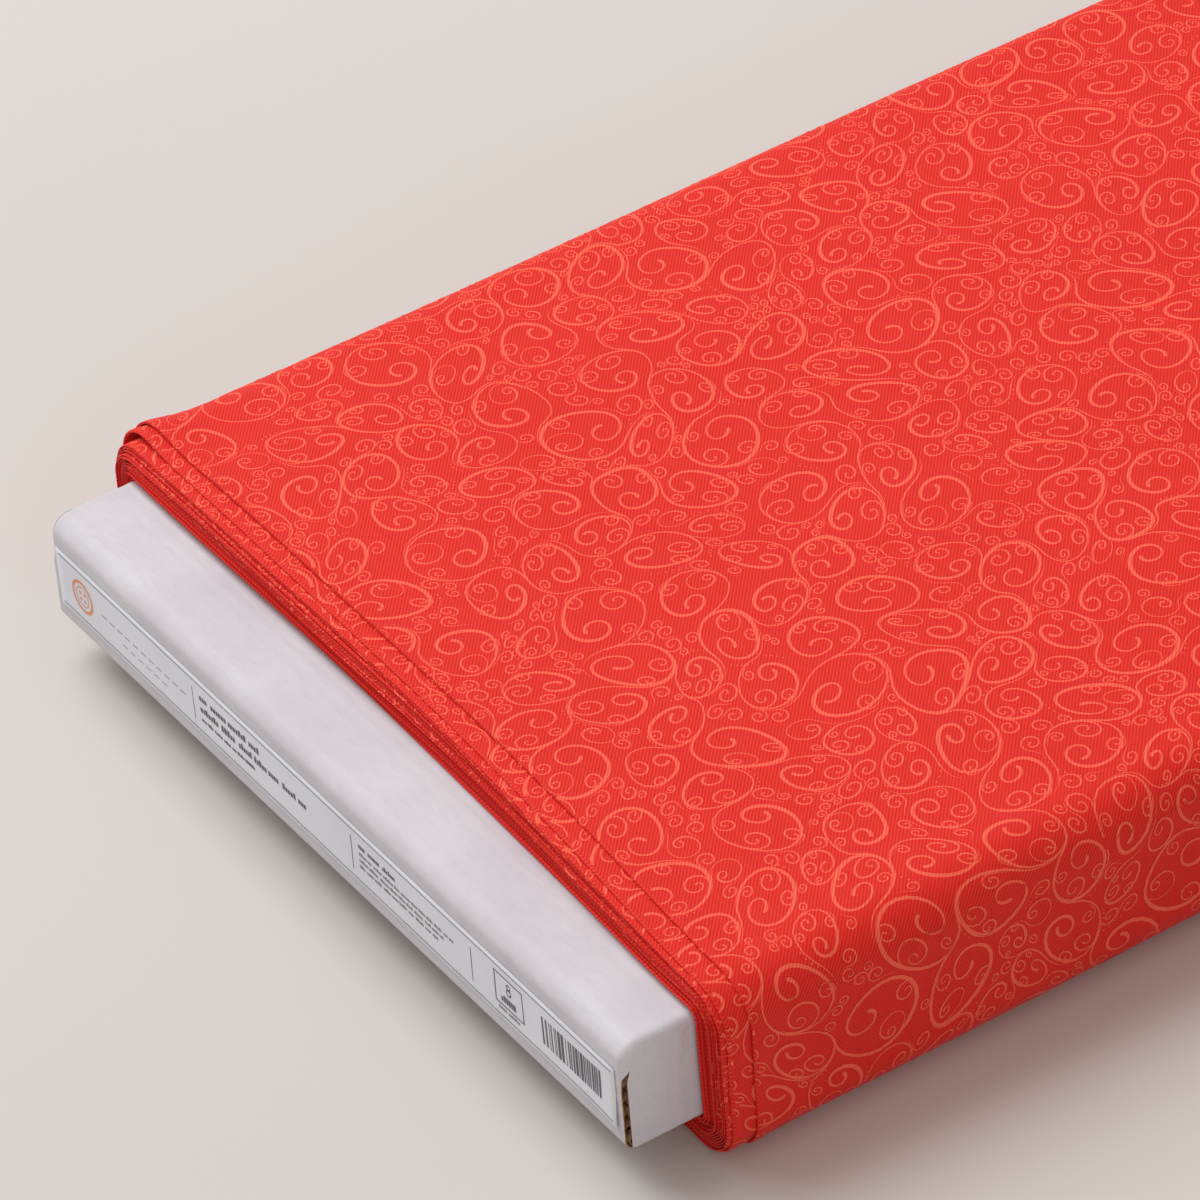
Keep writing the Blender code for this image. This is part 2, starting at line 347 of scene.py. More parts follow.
def turn_stations():
    """One turn as (part, share) pairs: half the top, round the far side, under, up, and back."""
    spread = np.linspace(0, 1, TOP_STEPS, endpoint=False)
    parts = [("top_far", share) for share in 1 - (1 - spread) ** 1.35]
    for part, count in (
        ("far_top", CORNER_STEPS), ("far", SIDE_STEPS), ("far_bottom", CORNER_STEPS),
        ("bottom", BOTTOM_STEPS),
        ("near_bottom", CORNER_STEPS), ("near", SIDE_STEPS), ("near_top", CORNER_STEPS),
    ):
        parts += [(part, step / count) for step in range(count)]
    parts += [("top_near", share) for share in spread ** 1.35]
    return parts


def outline_point(part, share, turn):
    """(x, z, outward x, outward z) of the winding's middle line."""
    grown = turn / LAST_TURN
    half = HALF_WIDTH + FIT_GAP + (SIDE_BUILD_UP - FIT_GAP) * grown
    high = BOARD_TOP + FIT_GAP + (BUILD_UP - FIT_GAP) * grown
    low = BOARD_BOTTOM - FIT_GAP - (BOARD_BOTTOM - FIT_GAP) * grown
    radius = INNER_RADIUS + (OUTER_RADIUS - INNER_RADIUS) * grown
    flat = half - radius
    if part in CORNERS:
        side, level, start = CORNERS[part]
        angle = radians(start + 90 * share)
        out_x, out_z = cos(angle), sin(angle)
        centre = high - radius if level > 0 else low + radius
        return side * flat + radius * out_x, centre + radius * out_z, out_x, out_z
    if part == "top_far":
        return -flat * share, high, 0.0, 1.0
    if part == "top_near":
        return flat * (1 - share), high, 0.0, 1.0
    if part == "bottom":
        return flat * (2 * share - 1), low, 0.0, -1.0
    upright = high - low - 2 * radius
    if part == "far":
        return -half, high - radius - upright * share, -1.0, 0.0
    return half, low + radius + upright * share, 1.0, 0.0


def path_length(points):
    """Length along a path up to each of its points."""
    return np.concatenate([[0], np.cumsum(np.linalg.norm(np.diff(points, axis=0), axis=1))])


def winding_path(first, last):
    """Stations between two turns: turn number, x, z, outward x and outward z."""
    stations = turn_stations()
    count = len(stations)
    rows = []
    for index in range(int(first) * count, (int(last) + 1) * count + 1):
        turn, (part, share) = index / count, stations[index % count]
        rows.append((turn, *outline_point(part, share, turn)))
    rows = np.array(rows)
    # The turn number follows the length of the path, so that a fraction of a turn means a place.
    length = path_length(rows[:, 1:3])
    whole = np.arange(0, len(rows), count)
    rows[:, 0] = np.interp(length, length[whole], rows[whole, 0])
    inside = (rows[:, 0] > first + 1e-6) & (rows[:, 0] < last - 1e-6)
    ends = [[np.interp(t, rows[:, 0], rows[:, k]) for k in range(5)] for t in (first, last)]
    return np.vstack([ends[0], rows[inside], ends[1]])


def droop(x):
    """How far the top sinks towards its two long edges."""
    near = smooth(x, 0.045, HALF_WIDTH) * 0.0013
    far = smooth(-x, 0.060, HALF_WIDTH) * 0.0007
    return near + far


def edge_setback(turn, x):
    """Where the folded edge lies behind the board's end."""
    base = np.interp(turn, SETBACK_TURNS, SETBACK_MM) * MM
    nearness = smooth(x, 0.0, HALF_WIDTH)
    wander = 0.20 * np.sin(turn * 5.3 + 1.0) + 0.16 * np.sin(turn * 14.2 + 4.0)
    wander = wander + 0.10 * np.sin(turn * 31.0)
    loose = np.where(turn < 14.3, 1.5, 0.5)
    return base - NEAR_SIDE_ADVANCE * nearness + wander * loose * MM


def ripple(length, across):
    """Slow unevenness of the wound cloth's surface."""
    first = np.sin(length * 37 + across * 9 + 0.6) * np.sin(across * 21 + 1.1)
    second = np.sin(length * 16 - across * 33 + 2.4)
    return (0.16 * first + 0.12 * second) * MM


def across_steps(fine):
    """Distances from the folded edge, closer together near both edges."""
    near = [0, 0.4, 0.9, 1.6, 2.6, 4.0, 6.0, 9.0, 14.0, 22.0]
    far = [0, 1.2, 3.0, 6.0, 10.0, 16.0, 26.0]
    middle = np.linspace(0.034, CLOTH_WIDTH - 0.040, 44 if fine else 9)
    return np.concatenate([np.array(near) * MM, middle, CLOTH_WIDTH - np.array(far[::-1]) * MM])


def cloth_grid(first, last, fine):
    """Points of the doubled cloth by station, and their map: length, and distance from the fold."""
    path = winding_path(first, last)
    turn, x, z, out_x, out_z = path.T
    length = length_at(first) + path_length(path[:, 1:3])
    z = z - droop(x) * np.maximum(out_z, 0) * smooth(turn, 2, 14)
    gap = BUILD_UP / LAST_TURN * LEAF_GAP_SHARE
    steps = across_steps(fine)
    setback = edge_setback(turn, x)
    outer_turns = smooth(turn, 14.0, 15.2)
    # On the far side the last turns stand off the tight bundle near their folded edge.
    loose = smooth(-x, 0.084, 0.101) * smooth(turn, 14.9, 15.2) * smooth(z, 0.008, 0.020)
    swell = 0.20 * MM * outer_turns + 0.05 * MM
    # Each column holds the distance from the fold, the side it is on (0.5 is the outer leaf),
    # and the angle round the fold, which is None on the two leaves.
    columns = [(d, 0.5, None) for d in steps[::-1]]
    for angle in np.linspace(0, pi, FOLD_STEPS + 2)[1:-1]:
        columns.append((0.0, 0.5 * cos(angle), angle))
    columns += [(d, -0.5, None) for d in steps]
    points = np.empty((len(turn), len(columns), 3))
    chart = np.empty((len(turn), len(columns), 2))
    for column, (d, side, angle) in enumerate(columns):
        flare = exp(-(d / FLARE) ** 2)
        thick = gap + swell * flare
        if angle is not None:
            lean = -sin(angle) * thick * 0.55
            mark = -thick * 0.5 * angle
        elif side > 0:
            lean = d + 0.0004 * np.sin(length * 3.1)
            mark = d
        else:
            lean = d
            mark = -d - 0.002
        rise = ripple(length, d) * smooth(turn, 15.24, 15.40) * smooth(d, 0.0, 0.03)
        rise = rise - 0.00012 * outer_turns + LOOSE_EDGE * loose * exp(-(d / 0.007) ** 2)
        lift = side * thick + swell * 0.5 * flare + rise
        points[:, column, 0] = x + out_x * lift
        points[:, column, 1] = FRONT_Y + setback + lean
        points[:, column, 2] = np.maximum(z + out_z * lift, LOWEST)
        chart[:, column, 0] = length
        chart[:, column, 1] = mark
    return points, chart


def turn_table():
    """Turn number against length along the cloth."""
    path = winding_path(0, LAST_TURN)
    return np.column_stack([path[:, 0], path_length(path[:, 1:3])])


TURN_TABLE = turn_table()


def length_at(turn):
    return np.interp(turn, TURN_TABLE[:, 0], TURN_TABLE[:, 1])


def add_cloth(name, first, last, fine):
    points, chart = cloth_grid(first, last, fine)
    rows, columns = points.shape[:2]
    faces = grid_faces(rows, columns)
    uv = chart.reshape(-1, 2).copy()
    uv[:, 1] = np.abs(uv[:, 1])
    obj = add_mesh(name, points.reshape(-1, 3), faces, [RED], uv)
    return obj, points, chart


# ---- the scrolled print ----
NEST_REACH = 0.93  # a nested curl keeps inside this share of its parent's radius


def torus(delta, size):
    """The shorter way from one place in the repeat to another."""
    return (delta + size / 2) % size - size / 2


class Scrollwork:
    """Touching circles in a repeat; each circle carries one curl that leaves the one it touches."""

    def __init__(self, seed):
        self.random = random.Random(seed)
        # Each circle: x, y, radius, start angle, sense, the number of its parent, and nested or not.
        self.circles = [(0.03, 0.03, 0.0070, 0.1, 1, -1, False)]
        self.solid = [(0.03, 0.03, 0.0070)]

    def free(self, x, y, radius):
        held = np.array(self.solid)
        dx = torus(held[:, 0] - x, REPEAT[0])
        dy = torus(held[:, 1] - y, REPEAT[1])
        return bool((dx * dx + dy * dy > (held[:, 2] + radius) ** 2 * 0.9998).all())

    def grow(self, smallest, largest, tries):
        """Adds circles that touch one already there, from the outside."""
        pick = self.random
        for _ in range(tries):
            parent = pick.randrange(len(self.circles))
            px, py, pr, _, sense, _, nested = self.circles[parent]
            if nested or pr < smallest * 0.7:
                continue
            radius = pick.uniform(smallest, largest)
            angle = pick.uniform(0, 2 * pi)
            x = (px + (pr + radius) * cos(angle)) % REPEAT[0]
            y = (py + (pr + radius) * sin(angle)) % REPEAT[1]
            if self.free(x, y, radius):
                self.circles.append((x, y, radius, angle + pi, -sense, parent, False))
                self.solid.append((x, y, radius))

    def nest(self, smallest):
        """Adds a small curl inside each large one, on the side that its own curl leaves free."""
        pick = self.random
        for index, (px, py, pr, start, sense, _, nested) in enumerate(list(self.circles)):
            if nested or pr < smallest:
                continue
            inner = [(pick.uniform(0.33, 0.41), pick.uniform(112, 135))]
            inner.append((pick.uniform(0.23, 0.28), pick.uniform(192, 214)))
            if pick.random() < 0.7:
                inner.append((pick.uniform(0.17, 0.22), pick.uniform(36, 60)))
            for share, turned in inner:
                radius = pr * share
                angle = start + sense * radians(turned)
                x = px + (pr * NEST_REACH - radius) * cos(angle)
                y = py + (pr * NEST_REACH - radius) * sin(angle)
                self.circles.append((x, y, radius, angle, sense, index, True))


# For each kind of curl: turns made, radius as a share of its circle's, and width as a share of
# the widest.
TIGHT = (
    (0, 0.42, 0.60, 0.78, 0.98, 1.35, 1.80), (1, 0.97, 0.86, 0.62, 0.43, 0.28, 0.08),
    (0.38, 0.42, 0.70, 1.0, 0.85, 0.50, 1.0),
)
EVEN = (
    (0, 0.5, 0.75, 1.0, 1.3, 1.62), (1, 0.95, 0.80, 0.50, 0.33, 0.13),
    (0.5, 1.0, 0.80, 0.55, 0.45, 1.05),
)
SMALL = ((0, 0.35, 0.8, 1.2, 1.4), (1, 0.92, 0.58, 0.30, 0.16), (0.5, 1.0, 0.8, 0.65, 1.1))


def curl_line(circles, index):
    """The middle line and width of one curl, from its thin start to its round tip."""
    cx, cy, radius, start, sense, parent, nested = circles[index]
    large = radius > 0.0027
    kind = (TIGHT if index % 3 else EVEN) if large else SMALL
    count = 38 if radius > 0.0055 else 28 if large else 17
    turns = np.linspace(0, kind[0][-1], count)
    share = np.interp(turns, kind[0], kind[1])
    kernel = np.array([0.25, 0.5, 0.25])
    for _ in range(3 if large else 1):
        share[1:-1] = np.convolve(share, kernel, "valid")
    angle = start + sense * 2 * pi * turns
    drift_angle = start + sense * radians(325)
    drift = (0.50 if large else 0.15) * (1 - share) * radius
    x = cx + share * radius * np.cos(angle) + drift * cos(drift_angle)
    y = cy + share * radius * np.sin(angle) + drift * sin(drift_angle)
    widest = 0.00026 + 0.082 * radius
    width = widest * np.interp(turns, kind[0], kind[2])
    width[-1] *= 0.45
    if parent >= 0:
        px, py, pr, _, parent_sense, _, _ = circles[parent]
        px = cx + torus(px - cx, REPEAT[0])
        py = cy + torus(py - cy, REPEAT[1])
        touch = atan2(cy - py, cx - px)
        sweep = min(1.1, 0.9 * radius / pr + 0.25)
        lead = np.linspace(-sweep, 0, 6)[:-1]
        bend = touch + parent_sense * lead
        reach = pr * (NEST_REACH if nested else 1.0)
        x = np.concatenate([px + reach * np.cos(bend), x])
        y = np.concatenate([py + reach * np.sin(bend), y])
        width = np.concatenate([np.linspace(0.06, 0.36, 5) * widest, width])
    return x, y, width


def warp(x, y):
    """Bends the whole repeat gently, so that the curls vary from round to oval."""
    kx, ky = 2 * pi / REPEAT[0], 2 * pi / REPEAT[1]
    dx = 1.9 * np.sin(5 * ky * y + 2 * kx * x) + 0.9 * np.sin(9 * ky * y - 4 * kx * x + 1.3)
    dy = 1.9 * np.sin(5 * kx * x - 3 * ky * y + 0.7) + 0.9 * np.sin(8 * kx * x + 5 * ky * y)
    return x + dx * MM, y + dy * MM


def make_scrollwork():
    """Every stroke of one repeat, as (x, y, width) arrays."""
    work = Scrollwork(SEED)
    work.grow(0.0058, 0.0080, 5000)
    work.grow(0.0040, 0.0054, 7000)
    work.nest(0.0040)
    work.grow(0.0024, 0.0034, 10000)
    work.grow(0.0014, 0.0020, 14000)
    work.grow(0.0009, 0.0012, 5000)
    strokes = []
    for index in range(len(work.circles)):
        x, y, width = curl_line(work.circles, index)
        strokes.append((*warp(x, y), width))
    pick = random.Random(SEED + 1)
    for x, y, radius, _, _, _, nested in work.circles:
        if nested or radius < 0.0030 or pick.random() < 0.45:
            continue
        middle = pick.uniform(0, 2 * pi)
        for step in range(pick.randrange(4, 8)):
            angle = middle + step * 0.0011 / radius
            dot = 0.00017 + 0.00003 * sin(step)
            dx, dy = (radius + 0.0006) * cos(angle), (radius + 0.0006) * sin(angle)
            line = np.linspace(-dot, dot, 4)
            px, py = warp(x + dx + line, np.full(4, y + dy))
            strokes.append((px, py, np.array([0.35, 1.9, 1.9, 0.35]) * dot))
    return strokes


def repeat_ribbons(strokes):
    """Points (x, y, height) and quads of one repeat: a ribbon for each stroke."""
    points, quads, count = [], [], 0
    for index, (x, y, width) in enumerate(strokes):
        dx, dy = np.gradient(x), np.gradient(y)
        half = width / 2 / (np.hypot(dx, dy) + 1e-12)
        number = len(x)
        height = np.full(number, PRINT_LIFT + STROKE_LIFT * (index % STROKE_LEVELS))
        for side in (half, -half):
            points.append(np.stack([x - dy * side, y + dx * side, height], 1))
        first = count + np.arange(number - 1)
        quads.append(np.stack([first, first + 1, first + 1 + number, first + number], 1))
        count += 2 * number
    return np.concatenate(points), np.concatenate(quads)


def grid_normals(points):
    """Outward unit vectors of a grid of points."""
    along = np.gradient(points, axis=0)
    across = np.gradient(points, axis=1)
    normal = np.cross(along, across)
    return normal / np.maximum(np.linalg.norm(normal, axis=2, keepdims=True), 1e-12)


def map_print(name, points, chart, width, tile):
    """The print laid on a grid of cloth, from just round its folded edge to that width."""
    normals = grid_normals(points)
    length = chart[:, 0, 0]
    rim = np.argmax(chart[0, :, 1] <= 0)
    columns = slice(0, rim + FOLD_STEPS)
    mark = chart[0, columns, 1]
    tile_points, tile_quads = tile
    every, faces, count = [], [], 0
    first_s = floor((length[0] - 0.02) / REPEAT[0])
    last_s = ceil((length[-1] + 0.02) / REPEAT[0])
    for i in range(first_s, last_s):
        for j in range(-1, ceil(width / REPEAT[1])):
            spot = tile_points + np.array([i * REPEAT[0], j * REPEAT[1], 0.0])
            inside = (spot[:, 0] > length[0]) & (spot[:, 0] < length[-1])
            inside &= (spot[:, 1] > ROUND_FOLD) & (spot[:, 1] < width)
            quads = tile_quads[inside[tile_quads].all(axis=1)]
            if not len(quads):
                continue
            used, quads = np.unique(quads, return_inverse=True)
            every.append(spot[used])
            faces.append(quads.reshape(-1, 4) + count)
            count += len(used)
    spot = np.concatenate(every)
    faces = np.concatenate(faces)
    row = np.clip(np.searchsorted(length, spot[:, 0]) - 1, 0, len(length) - 2)
    backwards = mark[::-1]
    place = np.clip(np.searchsorted(backwards, spot[:, 1]) - 1, 0, len(mark) - 2)
    column = len(mark) - 2 - place
    a = ((spot[:, 0] - length[row]) / (length[row + 1] - length[row]))[:, None]
    b = np.clip((mark[column] - spot[:, 1]) / (mark[column] - mark[column + 1]), 0, 1)[:, None]

    def blend(field):
        near = field[row, column] * (1 - b) + field[row, column + 1] * b
        far = field[row + 1, column] * (1 - b) + field[row + 1, column + 1] * b
        return near * (1 - a) + far * a

    where = blend(points) + blend(normals) * spot[:, 2:]
    layer = add_mesh(name, where, faces, [PRINT], np.abs(spot[:, :2]))
    layer.visible_shadow = False
    return layer


# ---- the carton board ----
FLUTE_PITCH = 0.0032
LINER = 0.00022
FOLD_RADIUS = 0.0042  # of the fold from the top to the end flap
LOWER_FOLD = 0.0021  # radius of the fold from the end flap to the tongue
EDGE_RADIUS = 0.0017  # of the sleeve's long edges


def washboard(length):
    """How far the flutes press the outer liner up."""
    return 0.035 * MM * np.sin(2 * pi * np.asarray(length) / FLUTE_PITCH)


def build_sleeve():
    """The four walls: white outside, kraft inside, with bare cut ends."""
    corner, radius = 7, EDGE_RADIUS
    flat = (HALF_WIDTH - radius) * np.linspace(1, -1, 13)[1:-1]
    shares = np.array((0.25, 0.50, 0.69, 0.73, 0.77, 0.82, 0.88, 0.91, 0.94, 0.97, 0.99))
    upright = BOARD_BOTTOM + radius + (BOARD_TOP - BOARD_BOTTOM - 2 * radius) * shares
    # Each corner is followed by the straight run after it: x, z, outward x and outward z.
    runs = (
        [(x, BOARD_TOP, 0, 1) for x in flat], [(-HALF_WIDTH, z, -1, 0) for z in upright[::-1]],
        [(-x, BOARD_BOTTOM, 0, -1) for x in flat], [(HALF_WIDTH, z, 1, 0) for z in upright],
    )
    ring = []
    for quarter, side in enumerate((1, -1, -1, 1)):
        x = side * (HALF_WIDTH - radius)
        z = BOARD_TOP - radius if quarter < 2 else BOARD_BOTTOM + radius
        for step in range(corner + 1):
            angle = radians(90 * (quarter + step / corner))
            ring.append((x + radius * cos(angle), z + radius * sin(angle), cos(angle), sin(angle)))
        ring += runs[quarter]
    ring = np.array(ring)
    count = len(ring)
    span = REAR_Y - FRONT_Y
    bare = 0.024  # what the cloth leaves open to view at each end
    half = np.concatenate([np.arange(0, bare, FLUTE_PITCH / 8), np.linspace(bare, span / 2, 8)])
    run = np.concatenate([half, span - half[-2::-1]])
    top_share = smooth(ring[:, 3], 0.2, 0.95)
    bottom_share = smooth(-ring[:, 3], 0.2, 0.95)
    # The walls end where the flaps bend: the side walls follow the rounded corner of the fold.
    level = np.clip(ring[:, 1] - (BOARD_TOP - FOLD_RADIUS), 0, FOLD_RADIUS - EDGE_RADIUS)
    front = FOLD_RADIUS - np.sqrt((FOLD_RADIUS - EDGE_RADIUS) ** 2 - level ** 2)
    crushed = 0.0007 * smooth(BOARD_TOP - ring[:, 1], 0.0055, 0.0080)
    rows = []
    for depth, edge in ((0.0, front - crushed), (WALL, np.maximum(front, 0.0019))):
        inset = edge + (0.0032 - edge) * bottom_share
        for distance in run:
            share = distance / span
            y = FRONT_Y + inset + (span - 2 * inset) * share
            wave = washboard(distance) * smooth(distance, 0.004, 0.012) if depth == 0.0 else 0.0
            sag = 0.12 * MM * np.sin(ring[:, 0] * 55 + distance * 40) * top_share
            reach = wave - depth + sag * smooth(distance, 0, 0.008)
            x, z = ring[:, 0] + ring[:, 2] * reach, ring[:, 1] + ring[:, 3] * reach
            rows.append(np.stack([x, y, z], 1))
    levels = len(run)
    points = np.array(rows).reshape(-1, 3)
    faces, kinds = [], []

    this = np.arange(count)
    after = np.roll(this, -1)

    def strip(first, second, kind):
        one, two = first * count, second * count
        faces.extend(np.stack([one + this, one + after, two + after, two + this], 1))
        kinds.extend([kind] * count)

    for level in range(levels - 1):
        strip(level, level + 1, 0)
        strip(levels + level + 1, levels + level, 1)
    strip(levels, 0, 1)
    strip(levels - 1, 2 * levels - 1, 1)
    sleeve = add_mesh("board_sleeve", points, faces, [WHITE, KRAFT], kinds=kinds)
    for polygon in sleeve.data.polygons[-2 * count:]:
        polygon.use_smooth = False
    return sleeve


def offset_path(path, offset):
    """A path of (y, z) points moved sideways."""
    path = np.asarray(path, float)
    step = np.gradient(path, axis=0)
    size = np.linalg.norm(step, axis=1, keepdims=True)
    side = np.stack([-step[:, 1], step[:, 0]], 1) / size
    return path + side * np.asarray(offset).reshape(-1, 1)


def resample(path, spacing):
    """The path at even spacing, and the length up to each point."""
    path = np.asarray(path, float)
    length = path_length(path)
    number = max(2, int(round(length[-1] / spacing)) + 1)
    where = np.linspace(0, length[-1], number)
    return np.stack([np.interp(where, length, path[:, k]) for k in range(2)], 1), where


def arc(centre, radius, start, end, steps):
    angles = np.radians(np.linspace(start, end, steps))
    return [(centre[0] + radius * cos(a), centre[1] + radius * sin(a)) for a in angles]


def corrugated(name, path, widths, to_world, closed=0.0, inner_thick=None, torn=0.0, side=1):
    """Corrugated carton swept across its flutes: two liners and the fluted sheet between.

    path runs in the plane that the flutes stand on, widths is (low, high) along the flutes,
    and to_world turns (along the flutes, first, second) into the frame. side is +1 where the
    outer, white liner is on the path's right. Up to the length closed, its two edges still
    join the side walls in a rounded corner. torn is how far the high edge is torn back.
    """
    path, run = resample(path, FLUTE_PITCH / 10)
    thick = np.full(len(run), WALL) if inner_thick is None else np.interp(run, *inner_thick)
    low, high = widths
    margin = np.array([0.0, 0.0004, 0.0008, 0.0012])
    centre = np.linspace(low + 0.006, high - 0.006, 11)
    stations = np.concatenate([low + margin, centre, high - margin[::-1]])
    inward = offset_path(path, side) - path
    held = 1 - smooth(run, closed - 0.002, closed + 0.002)
    straight = rough = np.zeros(len(run))
    if torn:
        ragged = 0.5 + 0.5 * np.sin(run * 4100) * np.sin(run * 1730 + 1)
        rough = torn * smooth(run, run[-1] * 0.72, run[-1] * 0.93) * (0.45 + 0.55 * ragged)
        rough = rough + 0.00008 * ragged
    points, faces, kinds = [], [], []

    def rounding(x):
        """How far the carton sinks at its edges to follow the side walls' rounded corners."""
        beyond = np.clip((abs(x) - HALF_WIDTH + EDGE_RADIUS) / EDGE_RADIUS, 0, 0.999)
        drop = EDGE_RADIUS * (1 - sqrt(1 - beyond ** 2)) if closed else 0.0
        return drop * held

    def sheet(line, kind, flip, edge=straight):
        start = len(points)
        for x in stations:
            back = edge if x == stations[-1] else straight
            placed = line + inward * rounding(x)[:, None]
            for (first, second), shift in zip(placed, back):
                points.append(to_world(x - shift, first, second))
        for quad in grid_faces(len(stations), len(line), start):
            faces.append(quad[::-1] if flip else quad)
            kinds.append(kind)

    wave = washboard(run) * side * (smooth(run, 0.001, 0.009) if closed else 1.0)
    outside = offset_path(path, wave)
    skin = offset_path(path, LINER * side)
    inner_skin = offset_path(path, (thick - LINER) * side)
    inside = offset_path(path, thick * side)
    middle = LINER + (thick - 2 * LINER) * (0.5 - 0.5 * np.cos(2 * pi * run / FLUTE_PITCH))
    flute = offset_path(path, middle * side)
    sheet(outside, 0, side > 0, rough)
    sheet(skin, 1, side < 0, rough)
    sheet(flute, 1, side > 0)
    sheet(inner_skin, 1, side > 0)
    sheet(inside, 1, side < 0)

    def cut_edge(places, first_line, second_line):
        """A strip of bare paper between two lines, at each place (along the flutes, station)."""
        start = len(points)
        for x, k, drop in places:
            for line in (first_line, second_line):
                points.append(to_world(x, *(line[k] + inward[k] * drop)))
        for k in range(start, len(points) - 2, 2):
            faces.append((k, k + 1, k + 3, k + 2))
            kinds.append(1)

    def closed_corner(x):
        """The outer liner carried round the corner onto the side wall, ending in a point."""
        start = len(points)
        rim = abs(x) - 0.0002
        first_angle = asin((rim - HALF_WIDTH + EDGE_RADIUS) / EDGE_RADIUS)
        bend = EDGE_RADIUS * (pi / 2 - first_angle)
        rows = int(np.searchsorted(run, closed))
        reach = (bend + 0.0010) * (1 - smooth(run, closed - 0.0050, closed - 0.0002))
        for k in range(rows):
            for t in np.linspace(0, 1, 12) * reach[k]:
                angle = first_angle + min(t, bend) / EDGE_RADIUS
                across = HALF_WIDTH + 0.00003 - EDGE_RADIUS * (1 - sin(angle))
                depth = (EDGE_RADIUS * (1 - cos(angle)) + max(t - bend, 0)) * held[k] - 0.00002
                points.append(to_world(copysign(across, x), *(path[k] + inward[k] * depth)))
        for quad in grid_faces(rows, 12, start):
            faces.append(quad if x > 0 else quad[::-1])
            kinds.append(0)

    every = range(len(run))
    for x, edge in ((low, straight), (high, rough)):
        drop = rounding(x)
        cut_edge([(x - edge[k], k, drop[k]) for k in every], outside, skin)
        cut_edge([(x, k, drop[k]) for k in every], inner_skin, inside)
        if closed:
            closed_corner(x)
    for k in (0, len(run) - 1):
        cut_edge([(x, k, rounding(x)[k]) for x in stations], outside, inside)
    return add_mesh(name, points, faces, [WHITE, KRAFT], kinds=kinds)


def build_end(prefix, end_y, inward):
    """The end flap with its soft top fold, the tongue with the lower fold, and the two dust flaps."""
    body = f"{prefix}_end_flap"
    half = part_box(body)[1][0]
    widths = (-half, half - 0.0003)

    def place(x, first, second):
        return (x, end_y + inward * first, second)

    bottom_z = BOARD_BOTTOM + 0.0004
    split_z = 0.0128  # where the flap's piece ends and the tongue's starts
    seam_z = BOARD_TOP + 0.00002
    below = BOARD_TOP - FOLD_RADIUS
    path = [(FOLD_RADIUS + 0.0009, seam_z), (FOLD_RADIUS + 0.0003, seam_z), (FOLD_RADIUS, BOARD_TOP)]
    path += arc((FOLD_RADIUS, below), FOLD_RADIUS, 90, 180, 12)[1:]
    path += [(0.0, split_z)]
    flap = corrugated(f"{prefix}_flap_carton", path, widths, place, closed=0.0118)
    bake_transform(flap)
    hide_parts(body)

    tongue_low, tongue_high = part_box(f"{prefix}_end_tongue")
    tongue_y = abs((tongue_low[1] if inward < 0 else tongue_high[1]) - end_y)
    path = [(0.0, split_z)]
    path += arc((LOWER_FOLD, bottom_z + LOWER_FOLD), LOWER_FOLD, 180, 300, 12)
    path += [(LOWER_FOLD + 0.0022, tongue_low[2] + 0.0001), (tongue_y, tongue_low[2] + 0.0004)]
    # The carton is crushed thin where it bends.
    crush = ((0, 0.0015, 0.0050, 0.0085, 0.0180), (WALL, 0.0013, 0.0007, 0.0008, 0.0014))
    torn = 0.0022 if prefix == "label" else 0.0008
    tongue = corrugated(f"{prefix}_tongue_carton", path, widths, place, inner_thick=crush, torn=torn)
    narrow_tongue(tongue, end_y, inward, half, tongue_high[0])
    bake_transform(tongue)
    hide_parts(f"{prefix}_end_tongue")

    for side, where in ((1, "near"), (-1, "far")):
        node = f"{prefix}_dust_flap_{where}"
        flap_low, flap_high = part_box(node)
        outer_y = flap_low[1] if inward > 0 else flap_high[1]
        root = max(abs(flap_low[0]), abs(flap_high[0]))
        tip = min(abs(flap_low[0]), abs(flap_high[0]))

        def place_dust(z, first, second, side=side, outer_y=outer_y):
            return (side * first, outer_y + inward * second, z)

        line = [(root, 0.0), (tip, 0.0)]
        dust = corrugated(f"{node}_carton", line, (flap_low[2], flap_high[2]), place_dust, side=-1)
        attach(dust, node)
        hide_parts(node)


def narrow_tongue(tongue, end_y, inward, half, tongue_half):
    """Tapers the tongue to its own width behind the lower fold, with rounded leading corners."""
    for vertex in tongue.data.vertices:
        depth = (vertex.co.y - end_y) * inward
        share = smooth(depth, LOWER_FOLD * 0.9, LOWER_FOLD + 0.0012)
        limit = half + (tongue_half - half) * share
        limit -= 0.004 * smooth(depth, 0.0085, 0.0140) ** 2
        vertex.co.x *= limit / half


# ---- the label ----
LABEL_TOP = LABEL_HIGH[2] - 0.0023
LABEL_BOTTOM = LABEL_LOW[2] + 0.0014
LABEL_LEFT = LABEL_LOW[0]
LABEL_RIGHT = LABEL_HIGH[0] - 0.0002
PAPER_Y = FRONT_Y - 0.00012
PAPER_THICK = 0.00009
INK_LIFT = 0.00003


def paper_y(x, z):
    """The paper follows the face; its near end lifts a little at the corner."""
    low = smooth(-z, -LABEL_BOTTOM - 0.008, -LABEL_BOTTOM)
    lift = 0.00035 * smooth(x, LABEL_RIGHT - 0.009, LABEL_RIGHT) * low
    wave = 0.00003 * sin(x * 160) * sin(z * 500)
    return PAPER_Y - PAPER_THICK - float(lift) - wave


